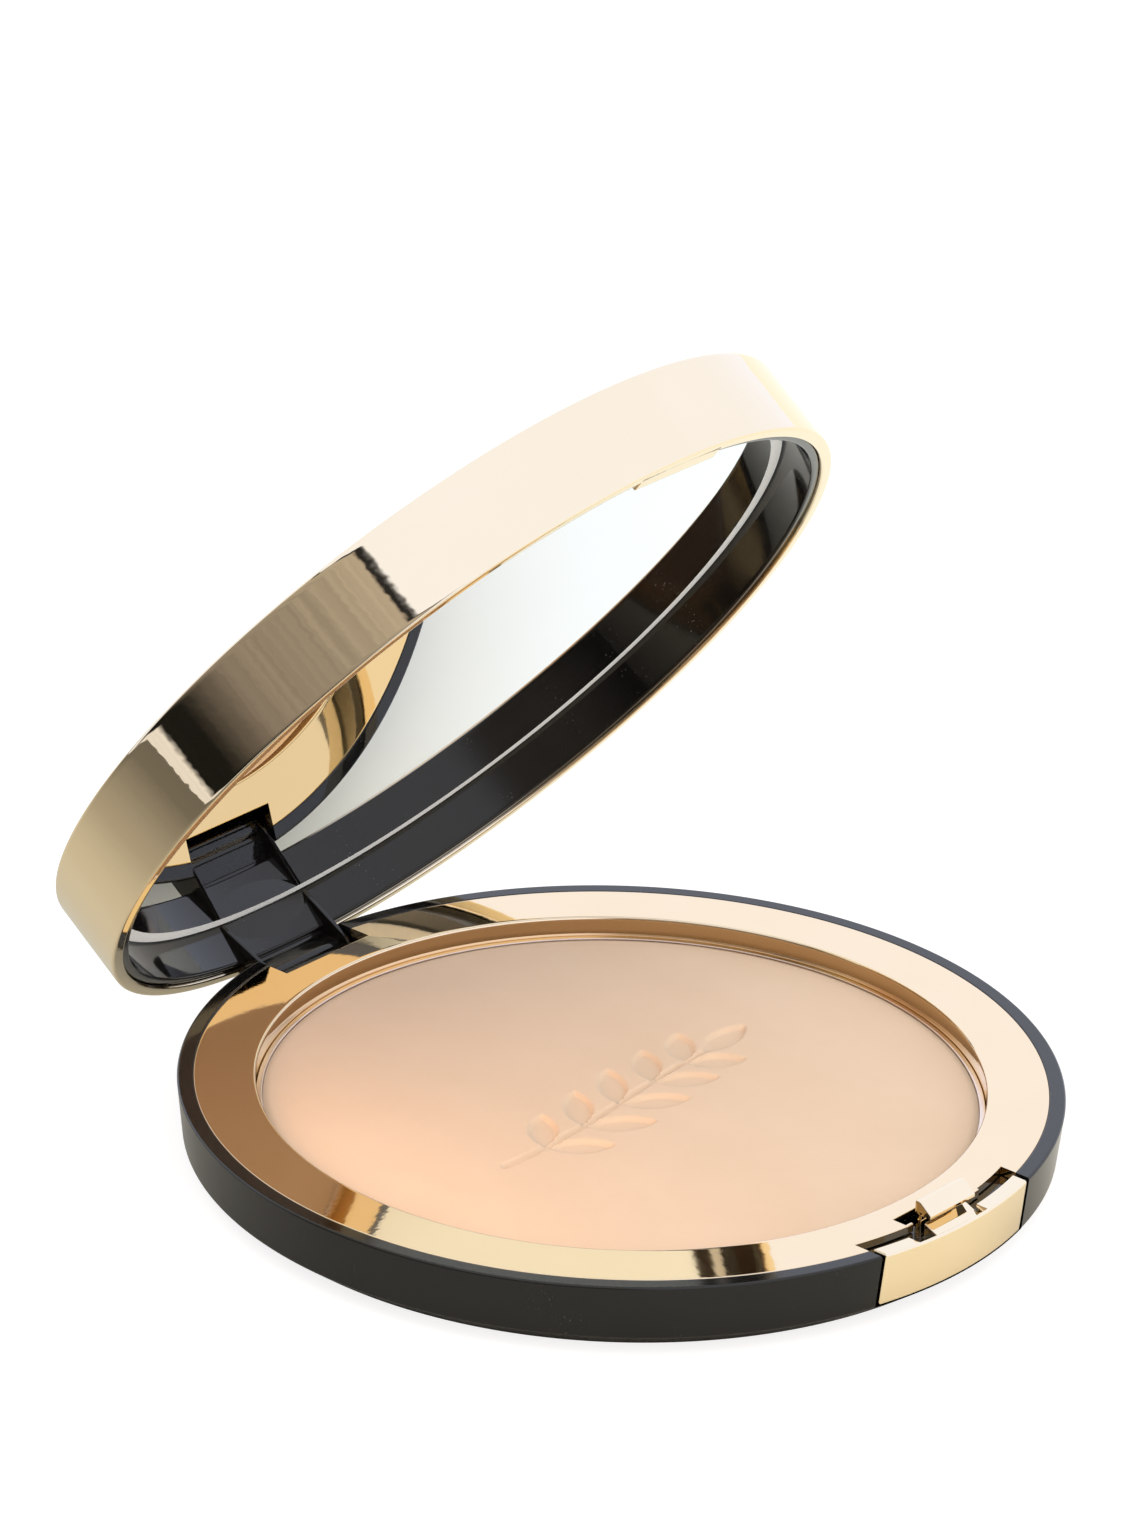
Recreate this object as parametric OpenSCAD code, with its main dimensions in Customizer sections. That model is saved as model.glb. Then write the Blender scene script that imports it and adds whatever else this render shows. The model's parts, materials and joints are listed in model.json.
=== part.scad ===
// Round powder compact: a low base with a pressed-powder pan, a hinged lid
// with a mirror inside it, and a push button with a sprung catch at the front.
// Millimetres, +Z up. The origin is the centre of the base's underside.
// The hinge is at +Y and the button at -Y. The lid is shown open.

/* [Case] */
// Outer radius of the base and the lid
case_r = 40; // [39:0.5:42]
// Height of the base, from the table to its flat top
base_h = 7; // [6.8:0.1:7.6]
// Height of the undercut round the foot, below the side wall
undercut_h = 1.8; // [1.6:0.1:1.8]
// How far the foot sits inside the side wall's lower edge
foot_inset = 2.45; // [1.8:0.05:2.6]
// How far the side wall leans in from its top to its bottom
wall_lean = 0.55; // [0.3:0.05:0.7]
// Chamfer on the base's outer top edge
edge_chamfer = 0.15; // [0.1:0.05:0.3]

/* [Trim ring and powder] */
// Outer radius of the trim ring's flat flange
ring_r = 38.5; // [38.3:0.1:38.6]
// Radius of the opening inside the trim ring
well_r = 32.9; // [32:0.1:33]
// Thickness of the trim ring's flange
ring_t = 0.8; // [0.6:0.1:0.9]
// Chamfer on the trim ring's inner edge
ring_edge = 0.2; // [0.1:0.05:0.3]
// Depth of the powder's flat face below the base's top
powder_drop = 1.8; // [1.5:0.1:2.2]
// Sheet thickness of the pan
pan_t = 0.4; // [0.3:0.05:0.5]

/* [Lid] */
// Height of the lid, from its rim to its top edge
lid_h = 9; // [8.6:0.1:9.4]
// Wall thickness of the lid's outer shell
lid_wall = 1.2; // [1:0.1:1.3]
// Gap between the closed lid's rim and the base
lid_gap = 0.2; // [0.15:0.05:0.3]
// Angle that the lid is shown opened to
lid_open = 54; // [30:1:90]
// Depth of the mirror's face inside the rim
mirror_depth = 4.5; // [4.3:0.1:4.7]
// Thickness of the mirror glass
mirror_t = 1.6; // [1.2:0.1:1.6]

/* [Hinge] */
// Distance of the hinge axis behind the case's centre
hinge_y = 38.2; // [38.1:0.1:38.3]
// Height of the hinge axis above the table
hinge_z = 3.8; // [3.7:0.1:3.9]
// Radius of the hinge pin
pin_r = 0.5; // [0.4:0.05:0.5]
// Radius of the lid's hinge knuckle
knuckle_r = 1.7; // [1.5:0.05:1.7]
// Half the width of the lid's hinge knuckle
knuckle_half = 5.4; // [4.5:0.1:5.4]

/* [Button and catch] */
// Half the width of the push button
button_half = 9.8; // [9:0.05:9.8]
// Travel of the push button
button_travel = 1.2; // [1:0.1:1.2]
// Half the width of the catch head
catch_half = 3.1; // [2.8:0.1:3.1]
// Half the width of the lid's hook
hook_half = 5.3; // [4.8:0.1:5.6]

/* [Hidden] */

fn_round = 180;
fn_small = 48;
big = 100;

// Base, from the outside in
wall_foot_r = case_r - wall_lean;
foot_r = wall_foot_r - foot_inset;
floor_t = 1;
channel_r = ring_r - 0.6;
well_wall_r = well_r + 1.7;
well_wall_t = 0.8;
ring_seat_z = base_h - ring_t;
ring_skirt_t = 0.8;
ring_skirt_z = 2.6;
label_recess_r = 20;
label_recess_t = 0.3;
label_t = 0.2;
label_fit = 0.3;

// Pan and powder
pan_r = well_r - 0.2;
glue_t = 0.2;
glue_dot_r = 5;
glue_dot_at = 15;
pan_z = floor_t + glue_t;
powder_z = base_h - powder_drop;
powder_bevel = [0.4, 0.25];
pan_rim_z = powder_z - 0.1;

// Hinge: the notch in the base clears the knuckle as the lid turns
notch_half = knuckle_half + 0.2;
notch_y = 35.9;
pin_half = 7.2;
knuckle_bore_r = pin_r + 0.05;
arm_y = notch_y + 0.3;
web_y = 38.3;
cheek_t = 0.45;

// Lid heights, counted from the rim
rim_z = base_h + lid_gap;
lid_in_r = case_r - lid_wall;
web_low = 7.45;
web_high = 8.2;
lid_edge = 0.25;
liner_r = lid_in_r - 0.05;
liner_t = 0.8;
liner_rim = 0.35;
liner_top = 7.4;
mirror_r = liner_r - liner_t - 0.15;
mirror_bevel = 0.5;
mirror_back = mirror_depth + mirror_t;
liner_floor = mirror_back + 0.5;
boss_top = mirror_depth - 0.1;
cheek_top_y = liner_r - liner_t - 0.6;
plate_tape_t = 0.1;
plate_t = 0.65;
plate_r = lid_in_r - 0.1;

// Button, its opening and the catch
opening_half = button_half + 0.45;
cap_in_r = ring_r;
cap_z = undercut_h + 0.1;
gap_in_r = ring_r - button_travel - 0.4;
tab_x = 5.5;
tab_r = gap_in_r + 0.25;
slide_z = [5, 6.1];
slide_in_r = 36;
slide_out_r = channel_r - 0.15;
slide_half = 12.3;
slide_tongue_half = 9.6;
stem_y = [-37.1, -36.4];
nose_y = -38.2;
hook_y = -37.45;
hook_t = 0.4;
nose_z = rim_z + hook_t + 0.1;
nose_t = 0.3;
head_top_z = base_h + 2;
head_top_t = 0.55;
window_half = 4.3;
window_y = [-36.35, -34.9];
throat_half = catch_half + 0.4;
pocket_x = [-5.9, 3.15];
pocket_r = 39.7;
pocket_z = base_h - 1;
ramp_half = 2.9;
ramp_y = [-39.4, -37.35];
ramp_low_z = base_h - 0.85;
liner_pocket_half = 4.2;
liner_pocket_top = head_top_z - rim_z + 0.35;
spring_t = 0.25;
spring_half = 9;
spring_z = [2.3, 4.6];
spring_bow = 2.45;
spring_steps = 24;

// A ring of the given outline, turned round the case's axis
module turned(outline) {
    rotate_extrude($fn = fn_round) polygon(outline);
}

// An outline given in Y and Z, made as wide as twice half_width along X
module across(half_width) {
    rotate([90, 0, 90])
        linear_extrude(height = 2 * half_width, center = true) children();
}

// A block from one corner to the other
module block(low, high) {
    translate(low) cube(high - low);
}

// A cylinder along the hinge axis
module hinge_rod(radius, half_length) {
    translate([0, hinge_y, hinge_z]) rotate([0, 90, 0])
        cylinder(r = radius, h = 2 * half_length, center = true, $fn = fn_small);
}

// The lid is drawn closed on the base and then turned open about the hinge
module opened() {
    translate([0, hinge_y, hinge_z]) rotate([-lid_open, 0, 0])
        translate([0, -hinge_y, -hinge_z]) children();
}

// A lid outline whose heights count from the rim
module lid_turned(outline) {
    translate([0, 0, rim_z]) turned(outline);
}

module hinge_notch() {
    block([-notch_half, notch_y, undercut_h], [notch_half, case_r + 1, base_h + 1]);
}

module base_shell() {
    color([0.09, 0.09, 0.10]) difference() {
        turned([
            [0, label_recess_t], [label_recess_r, label_recess_t], [label_recess_r, 0],
            [foot_r, 0], [wall_foot_r, undercut_h],
            [case_r, base_h - edge_chamfer], [case_r - edge_chamfer, base_h],
            [ring_r, base_h], [ring_r, ring_seat_z],
            [channel_r, ring_seat_z], [channel_r, floor_t],
            [well_wall_r, floor_t], [well_wall_r, ring_seat_z],
            [well_wall_r - well_wall_t, ring_seat_z], [well_wall_r - well_wall_t, floor_t],
            [0, floor_t]
        ]);
        hinge_notch();
        hinge_rod(pin_r, pin_half);
        block([-opening_half, -case_r - 1, undercut_h], [opening_half, -slide_in_r, base_h + 1]);
    }
}

module base_label() {
    color([0.82, 0.80, 0.76])
        translate([0, 0, label_recess_t - label_t])
            cylinder(r = label_recess_r - label_fit, h = label_t, $fn = fn_round);
}

module trim_ring() {
    color([0.93, 0.78, 0.50]) difference() {
        turned([
            [well_r, ring_skirt_z], [well_r + ring_skirt_t, ring_skirt_z],
            [well_r + ring_skirt_t, ring_seat_z], [ring_r, ring_seat_z],
            [ring_r, base_h], [well_r + ring_edge, base_h],
            [well_r, base_h - ring_edge]
        ]);
        hinge_notch();
        // Room for the button cap to travel
        difference() {
            block([-opening_half, -case_r, ring_seat_z - 1], [opening_half, -slide_in_r + 1, base_h + 1]);
            cylinder(r = gap_in_r, h = base_h + 2, $fn = fn_round);
            intersection() {
                block([throat_half, -case_r, 0], [tab_x, 0, big]);
                cylinder(r = tab_r, h = big, $fn = fn_round);
            }
        }
        // Window and throat for the catch and its stem
        block([-window_half, window_y[0], ring_seat_z - 1], [window_half, window_y[1], base_h + 1]);
        block([-throat_half, -case_r, ring_seat_z - 1], [throat_half, window_y[1], base_h + 1]);
    }
}

module pan() {
    color([0.86, 0.84, 0.84]) turned([
        [0, pan_z], [pan_r, pan_z], [pan_r, pan_rim_z], [pan_r - pan_t, pan_rim_z],
        [pan_r - pan_t, pan_z + pan_t], [0, pan_z + pan_t]
    ]);
}

module powder_cake() {
    color([0.93, 0.80, 0.68]) turned([
        [0, pan_z + pan_t], [pan_r - pan_t, pan_z + pan_t],
        [pan_r - pan_t, powder_z - powder_bevel[1]],
        [pan_r - pan_t - powder_bevel[0], powder_z], [0, powder_z]
    ]);
}

module pan_glue() {
    color([0.88, 0.86, 0.78])
        for (turn = [0, 120, 240])
            rotate([0, 0, turn]) translate([glue_dot_at, 0, floor_t])
                cylinder(r = glue_dot_r, h = glue_t, $fn = fn_small);
}

module hinge_pin() {
    color([0.70, 0.70, 0.72]) hinge_rod(pin_r, pin_half);
}

// A bowed strip: its middle bears on the well wall and its ends on the button
function bow_y(x) = -well_wall_r - spring_t / 2 - spring_bow * pow(x / spring_half, 2);

module button_spring() {
    bow_x = [for (i = [0 : spring_steps]) spring_half * (2 * i / spring_steps - 1)];
    back = [for (x = bow_x) [x, bow_y(x) + spring_t / 2]];
    front = [for (i = [spring_steps : -1 : 0]) [bow_x[i], bow_y(bow_x[i]) - spring_t / 2]];
    color([0.62, 0.63, 0.65])
        translate([0, 0, spring_z[0]])
            linear_extrude(height = spring_z[1] - spring_z[0]) polygon(concat(back, front));
}

module button_cap() {
    color([0.93, 0.78, 0.50]) union() {
        difference() {
            turned([
                [cap_in_r, cap_z],
                [wall_foot_r + wall_lean * (cap_z - undercut_h) / (base_h - undercut_h), cap_z],
                [case_r, base_h - edge_chamfer], [case_r - edge_chamfer, base_h],
                [cap_in_r, base_h]
            ]);
            // Keep only the width of the button, at the front
            block([-big, 0, -1], [big, big, big]);
            block([-big, -big, -1], [-button_half, 1, big]);
            block([button_half, -big, -1], [big, 1, big]);
            intersection() {
                block([pocket_x[0], -case_r, pocket_z], [pocket_x[1], -slide_in_r, big]);
                cylinder(r = pocket_r, h = big, $fn = fn_round);
            }
        }
        // Sloping pad that meets the lid's hook
        across(ramp_half) polygon([
            [ramp_y[0], slide_z[1] - 0.2], [ramp_y[0], ramp_low_z],
            [ramp_y[1], base_h], [ramp_y[1], slide_z[1]],
            [-cap_in_r, slide_z[1]], [-cap_in_r, slide_z[1] - 0.2]
        ]);
    }
}

module catch_slide() {
    color([0.93, 0.78, 0.50]) union() {
        // Slide plate under the trim ring, with a tongue that reaches the cap
        intersection() {
            union() {
                translate([0, 0, slide_z[0]])
                    cylinder(r = slide_out_r, h = slide_z[1] - slide_z[0], $fn = fn_round);
                intersection() {
                    translate([0, 0, slide_z[0]])
                        cylinder(r = cap_in_r, h = slide_z[1] - slide_z[0], $fn = fn_round);
                    block([-slide_tongue_half, -big, 0], [slide_tongue_half, 0, big]);
                }
            }
            difference() {
                block([-slide_half, -big, 0], [slide_half, -big / 4, big]);
                cylinder(r = slide_in_r, h = big, center = true, $fn = fn_round);
            }
        }
        // Catch: a stem and a head whose nose holds the lid's hook
        across(catch_half) polygon([
            [stem_y[1], slide_z[1] - 0.5], [stem_y[0], slide_z[1] - 0.5],
            [stem_y[0], nose_z], [nose_y, nose_z], [nose_y, nose_z + nose_t],
            [stem_y[1] - head_top_t, head_top_z], [stem_y[1], head_top_z]
        ]);
    }
}

module lid_shell() {
    color([0.93, 0.78, 0.50]) opened() union() {
        lid_turned([
            [lid_in_r, 0], [case_r, 0], [case_r, lid_h - lid_edge],
            [case_r - lid_edge, lid_h], [lid_in_r, lid_h],
            [lid_in_r, web_high], [0, web_high], [0, web_low], [lid_in_r, web_low]
        ]);
        // Hook that the catch's nose holds
        intersection() {
            block([-hook_half, -case_r, rim_z], [hook_half, hook_y, rim_z + hook_t]);
            cylinder(r = lid_in_r + lid_wall / 2, h = big, $fn = fn_round);
        }
    }
}

// The lid's hinge arm: a web on the liner's wall between two cheeks, and a knuckle
module hinge_boss() {
    intersection() {
        union() {
            across(knuckle_half) union() {
                polygon([
                    [hinge_y - 0.9, hinge_z], [hinge_y - 0.9, hinge_z + 1.9], [web_y, rim_z],
                    [cheek_top_y, rim_z + boss_top], [liner_r, rim_z + boss_top],
                    [case_r, hinge_z + 3], [case_r, hinge_z]
                ]);
                translate([hinge_y, hinge_z]) circle(r = knuckle_r, $fn = fn_small);
            }
            for (side = [-1, 1])
                translate([side * (knuckle_half - cheek_t / 2), 0, 0])
                    across(cheek_t / 2) polygon([
                        [hinge_y - knuckle_r, hinge_z], [arm_y, hinge_z + 1.6],
                        [cheek_top_y, rim_z + boss_top], [liner_r, rim_z + boss_top],
                        [case_r, hinge_z + 3], [case_r, hinge_z]
                    ]);
        }
        turned([
            [0, 0], [case_r - 0.1, 0], [case_r - 0.1, rim_z - 0.03],
            [liner_r, rim_z - 0.03], [liner_r, rim_z + lid_h], [0, rim_z + lid_h]
        ]);
    }
}

module lid_liner() {
    color([0.09, 0.09, 0.10]) opened() difference() {
        union() {
            lid_turned([
                [liner_r - liner_t, liner_rim], [liner_r, liner_rim], [liner_r, liner_top],
                [0, liner_top], [0, liner_floor], [liner_r - liner_t, liner_floor]
            ]);
            hinge_boss();
        }
        hinge_rod(knuckle_bore_r, knuckle_half + 1);
        // Room for the catch head when the lid is closed
        block([-liner_pocket_half, -case_r, rim_z], [liner_pocket_half, -slide_in_r, rim_z + liner_pocket_top]);
    }
}

module mirror_glass() {
    color([0.80, 0.83, 0.85]) opened() lid_turned([
        [0, mirror_depth], [mirror_r - mirror_bevel, mirror_depth],
        [mirror_r, mirror_depth + mirror_bevel], [mirror_r, mirror_back], [0, mirror_back]
    ]);
}

module mirror_tape() {
    color([0.93, 0.93, 0.90]) opened()
        lid_turned([[0, mirror_back], [mirror_r - 1, mirror_back],
                    [mirror_r - 1, liner_floor], [0, liner_floor]]);
}

module top_plate() {
    color([0.06, 0.06, 0.07]) opened()
        lid_turned([[0, web_high + plate_tape_t], [plate_r, web_high + plate_tape_t],
                    [plate_r, web_high + plate_tape_t + plate_t],
                    [0, web_high + plate_tape_t + plate_t]]);
}

module top_plate_tape() {
    color([0.90, 0.90, 0.88]) opened()
        lid_turned([[0, web_high], [plate_r - 1, web_high],
                    [plate_r - 1, web_high + plate_tape_t], [0, web_high + plate_tape_t]]);
}

base_shell();
base_label();
trim_ring();
pan();
powder_cake();
pan_glue();
hinge_pin();
button_spring();
button_cap();
catch_slide();
lid_shell();
lid_liner();
mirror_glass();  // mirror
mirror_tape();
top_plate();
top_plate_tape();
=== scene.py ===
# %% [markdown]
# # A round powder compact
# The compact is a low black base with a pan of pressed powder, a gold-tone trim ring over it,
# and a gold-tone lid with a mirror inside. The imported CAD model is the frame: it fixes every
# size, every joint and every collision shape. This file gives the frame its looks.

# %% Load the frame
import json
import math

import bmesh
import bpy
import numpy as np
from mathutils import Matrix, Vector


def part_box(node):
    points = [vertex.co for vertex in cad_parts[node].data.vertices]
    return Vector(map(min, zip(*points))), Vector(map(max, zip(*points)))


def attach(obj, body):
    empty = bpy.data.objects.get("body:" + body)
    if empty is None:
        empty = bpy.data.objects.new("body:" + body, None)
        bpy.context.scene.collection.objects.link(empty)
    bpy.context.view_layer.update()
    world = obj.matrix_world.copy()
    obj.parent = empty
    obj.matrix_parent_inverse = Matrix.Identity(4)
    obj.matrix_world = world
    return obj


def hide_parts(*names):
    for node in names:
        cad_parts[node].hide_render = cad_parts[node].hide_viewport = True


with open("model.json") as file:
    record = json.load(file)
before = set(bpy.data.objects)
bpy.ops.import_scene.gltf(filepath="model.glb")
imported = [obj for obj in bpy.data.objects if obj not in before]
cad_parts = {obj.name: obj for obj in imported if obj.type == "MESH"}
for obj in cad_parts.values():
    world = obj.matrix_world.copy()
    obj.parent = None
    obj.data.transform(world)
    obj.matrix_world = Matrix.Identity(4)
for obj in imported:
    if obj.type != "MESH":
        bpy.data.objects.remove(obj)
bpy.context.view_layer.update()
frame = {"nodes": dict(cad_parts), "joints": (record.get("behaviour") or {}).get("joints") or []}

# %% [markdown]
# ## Sizes
# A made part has a drawing, and its sizes are written once. The sizes that the frame can tell
# are read from its boxes and joints. The others repeat the drawing's values, in millimetres.
# Working in millimetres and scaling once, when a mesh is made, keeps the numbers readable.

# %% Sizes read from the frame, in millimetres
MM = 0.001


def mm_box(node):
    """Lowest and highest corner of a CAD node, in millimetres."""
    low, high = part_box(node)
    return np.array(low) / MM, np.array(high) / MM


joints = {j["name"]: j for j in frame["joints"]}
hinge = np.array(joints["lid_hinge"]["pos_m"]) / MM
lid_open = math.radians(-joints["lid_hinge"]["range_deg"][0])
case_r = mm_box("base_shell")[1][0]
base_h = mm_box("base_shell")[1][2]
ring_r = mm_box("trim_ring")[1][0]
powder_r = mm_box("powder_cake")[1][0]
powder_z = mm_box("powder_cake")[1][2]
powder_low = mm_box("powder_cake")[0][2]
pan_r = mm_box("pan")[1][0]
pan_z, pan_top = mm_box("pan")[0][2], mm_box("pan")[1][2]
button_half = mm_box("button_cap")[1][0]
print("case radius", case_r, "base height", base_h, "lid open", round(math.degrees(lid_open), 1))

# %% Sizes repeated from the drawing, in millimetres
undercut_h = 1.8
wall_lean = 0.55
wall_foot_r = case_r - wall_lean
foot_r = wall_foot_r - 2.45
edge_chamfer = 0.15
ring_t = 0.8
ring_seat = base_h - ring_t
channel_r = ring_r - 0.6
well_r = 32.9
floor_z = 1.0
slide_low, slide_high = 5.0, 6.1
rim_z = base_h + 0.2
lid_h = 9.0
lid_in_r = case_r - 1.2
liner_r = lid_in_r - 0.05
liner_in_r = liner_r - 0.8
mirror_r = liner_in_r - 0.15
mirror_face = 4.5
opening_half = 10.25
notch_half = 5.6
notch_y = 35.9
print("ring seat at", round(ring_seat, 2), "lid rim at", round(rim_z, 2), "mirror radius", round(mirror_r, 2))

# %% [markdown]
# ## Rounded outlines
# Nothing that is moulded or pressed has a perfectly sharp edge, and it is the small roundings
# that catch the light. A Bevel modifier could add them, but it struggles where a notch cuts a
# thin wall. Here the outline itself is rounded before it is turned or pushed into a solid.


# %% Round the corners of an outline
TINY = 1e-9  # keeps a division away from zero
corner_share = 0.42  # the most of an edge that one rounding may take
guard_reach = 1.7  # distance of the extra point from its corner, in rounding sizes
guard_share = 0.46  # the most of an edge that this distance may take


def rounded(corners, steps=4):
    """Outline with soft corners.

    corners is (..., K, 3): two coordinates and a rounding size t for each corner P. With A and B
    at distance t from P towards its neighbours, the corner becomes the parabola
    (1-s)^2 A + 2 s (1-s) P + s^2 B for s from 0 to 1. One more point on each side, a little
    further out, keeps the flat face flat when it is shaded smoothly.
    """
    corners = np.asarray(corners, float)
    point, size = corners[..., :2], corners[..., 2:3]
    count = point.shape[-2]
    s = np.linspace(0, 1, steps + 1)[:, None]
    out = []
    for k in range(count):
        p, t = point[..., k, :], size[..., k, :]
        if np.all(t == 0):
            out.append(p[..., None, :])
            continue
        before = point[..., k - 1, :] - p
        after = point[..., (k + 1) % count, :] - p
        long_before = np.linalg.norm(before, axis=-1, keepdims=True)
        long_after = np.linalg.norm(after, axis=-1, keepdims=True)
        before, after = before / np.maximum(long_before, TINY), after / np.maximum(long_after, TINY)
        t = np.minimum(t, corner_share * np.minimum(long_before, long_after))
        a, q, b = (v[..., None, :] for v in (p + before * t, p, p + after * t))
        guard_before = np.minimum(guard_reach * t, guard_share * long_before)
        guard_after = np.minimum(guard_reach * t, guard_share * long_after)
        out.append((p + before * guard_before)[..., None, :])
        out.append((1 - s) ** 2 * a + 2 * s * (1 - s) * q + s**2 * b)
        out.append((p + after * guard_after)[..., None, :])
    return np.concatenate(out, axis=-2)


def corner_rows(count, *corners):
    """(count, K, 3) corners for that many columns, from (radius, height, rounding) rows. A radius
    may be one number or one for each column."""
    rows = [[np.broadcast_to(np.asarray(v, float), count) for v in corner] for corner in corners]
    return np.stack([np.stack(row, -1) for row in rows], 1)


# %% [markdown]
# ## Turned shapes with openings
# Most parts of a compact are turned shapes with a few straight cuts: the hinge notch, the
# button's opening, the catch's window. A Screw modifier and Booleans would make them, but
# Booleans leave long thin triangles that spoil mirror-like plating. Here a column of points is
# carried round the axis, and where a cut starts there are two columns at the same place with
# different outlines. The face between them is the cut's side wall.


# %% Turn an outline round the axis
def station(side, x, inner):
    """Angle at which a point of radius r lies on the plane of that x: asin(x / r), at the front
    (-Y) or the back (+Y). Inside the inner radius the angle stays the same."""
    if side == "front":
        return lambda r: np.arcsin(x / np.maximum(r, inner))
    return lambda r: math.pi - np.arcsin(x / np.maximum(r, inner))


def spin(r, z, angle):
    """Points of radius r and height z at that angle: (r sin a, -r cos a, z). 0 is the front."""
    return np.stack([r * np.sin(angle), -r * np.cos(angle), z], -1)


def arc_part(start, end, corners, count, turn=0.0):
    """Columns from one station to the next, going anticlockwise. The angle of each point is
    (1-s) start(r) + s end(r), so that the first and last column lie flat on the cuts."""
    outlines = rounded(corner_rows(count, *corners))
    r, z = outlines[..., 0], outlines[..., 1]
    s = np.linspace(0, 1, count)[:, None]
    return spin(r, z, (1 - s) * start(r) + s * (end(r) + turn))


def on_planes(x, outlines, inner, side="front"):
    """Puts each outline of (radius, height) points on its own plane of constant x: the angle is
    asin(x / r), as in station."""
    r, z = outlines[..., 0], outlines[..., 1]
    angle = np.arcsin(x[:, None] / np.maximum(r, inner))
    return spin(r, z, angle if side == "front" else math.pi - angle)


def cut_part(side, x0, x1, inner, corners_at, count):
    """Columns on planes of constant x from x0 to x1. corners_at(x) gives the corners there."""
    x = np.linspace(x0, x1, count)
    return on_planes(x, rounded(corner_rows(count, *corners_at(x))), inner, side)


def quads(columns, rows, wrap_columns, wrap_rows=True):
    """Corner numbers of the four-sided faces of a grid of points, column after column."""
    i = np.arange(columns if wrap_columns else columns - 1)
    j = np.arange(rows if wrap_rows else rows - 1)
    i, j = np.meshgrid(i, j, indexing="ij")
    i2, j2 = (i + 1) % columns, (j + 1) % rows
    return np.stack([i * rows + j, i2 * rows + j, i2 * rows + j2, i * rows + j2], -1).reshape(-1, 4)


def ring(*parts):
    """A closed turned solid from its parts, in order round the axis."""
    points = np.concatenate(parts, 0)
    return points.reshape(-1, 3), quads(points.shape[0], points.shape[1], True).tolist()


def turned(corners, count=361):
    """A closed turned solid with no cuts: columns at angles from 0 to a whole turn, without the
    last one, which is the first one again."""
    whole = lambda r: np.zeros_like(r)
    return ring(arc_part(whole, whole, corners, count, turn=2 * math.pi)[:-1])


def capped(points, flip=False):
    """A solid from a row of closed outlines, with a flat face at each end."""
    columns, rows = points.shape[:2]
    faces = quads(columns, rows, False)
    first, last = np.arange(rows), (columns - 1) * rows + np.arange(rows)[::-1]
    faces = faces.tolist() + [first.tolist(), last.tolist()]
    if flip:
        faces = [f[::-1] for f in faces]
    return points.reshape(-1, 3), faces


# %% [markdown]
# ## Bars across the hinge direction
# The catch, the hook, the hinge boss and the button's pad are outlines in Y and Z that run
# along X. Their ends are rounded by letting the outline shrink a little at each end.


# %% Carry an outline along X
def inset(outline, d):
    """The outline moved inwards by d: each corner goes along the mitre of its two edges."""
    ahead, behind = np.roll(outline, -1, 0) - outline, outline - np.roll(outline, 1, 0)
    n1 = np.stack([behind[:, 1], -behind[:, 0]], -1)
    n2 = np.stack([ahead[:, 1], -ahead[:, 0]], -1)
    n1 /= np.maximum(np.linalg.norm(n1, axis=1, keepdims=True), TINY)
    n2 /= np.maximum(np.linalg.norm(n2, axis=1, keepdims=True), TINY)
    mitre = np.maximum(1 + (n1 * n2).sum(1, keepdims=True), 0.3)  # held back at very sharp corners
    return outline - d * (n1 + n2) / mitre


def bar(x0, x1, corners, soft, ends=3):
    """A solid from x0 to x1. Near each end, at an angle t from 0 to 90 degrees, the outline is
    inset by soft (1 - sin t) and sits soft (1 - cos t) from the end. One more outline, 1.8 soft
    from the end, keeps the sides flat."""
    corners = np.asarray(corners, float)
    t = np.linspace(0, math.pi / 2, ends + 1)
    depth = soft * (1 - np.sin(t))
    along = soft * (1 - np.cos(t))
    flat = 1.8 * soft
    x = np.concatenate([x0 + along, [x0 + flat, x1 - flat], (x1 - along)[::-1]])
    depth = np.concatenate([depth, [0, 0], depth[::-1]])
    sections = []
    for d in depth:
        moved = corners.copy()
        moved[:, :2] = inset(corners[:, :2], d)
        sections.append(rounded(moved))
    sections = np.stack(sections)
    across = np.broadcast_to(x[:, None, None], sections.shape[:2] + (1,))
    return capped(np.concatenate([across, sections], -1), flip=True)


# %% [markdown]
# ## From points to pieces
# Every piece goes through one function. It joins its solids, merges doubled points, drops faces
# that have no area, and shades smoothly except across sharp edges. Lid parts are worked out
# closed, where their heights are easy to read, and then turned open about the hinge.


# %% Make a mesh object
def turn_lid(points, angle):
    """Points turned about the hinge, which opens the lid where the angle is positive:
    y' = c y + s z and z' = -s y + c z."""
    c, s = math.cos(angle), math.sin(angle)
    p = np.asarray(points, float) - hinge
    return np.stack([p[:, 0], c * p[:, 1] + s * p[:, 2], c * p[:, 2] - s * p[:, 1]], 1) + hinge


def number_faces(mesh, numbers):
    """Gives each face the number of its material."""
    mesh.polygons.foreach_set("material_index", numbers.astype(np.int32))


def face_centres(mesh):
    """The middle of each face, in millimetres."""
    centres = np.zeros(len(mesh.polygons) * 3)
    mesh.polygons.foreach_get("center", centres)
    return centres.reshape(-1, 3) / MM


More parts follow.
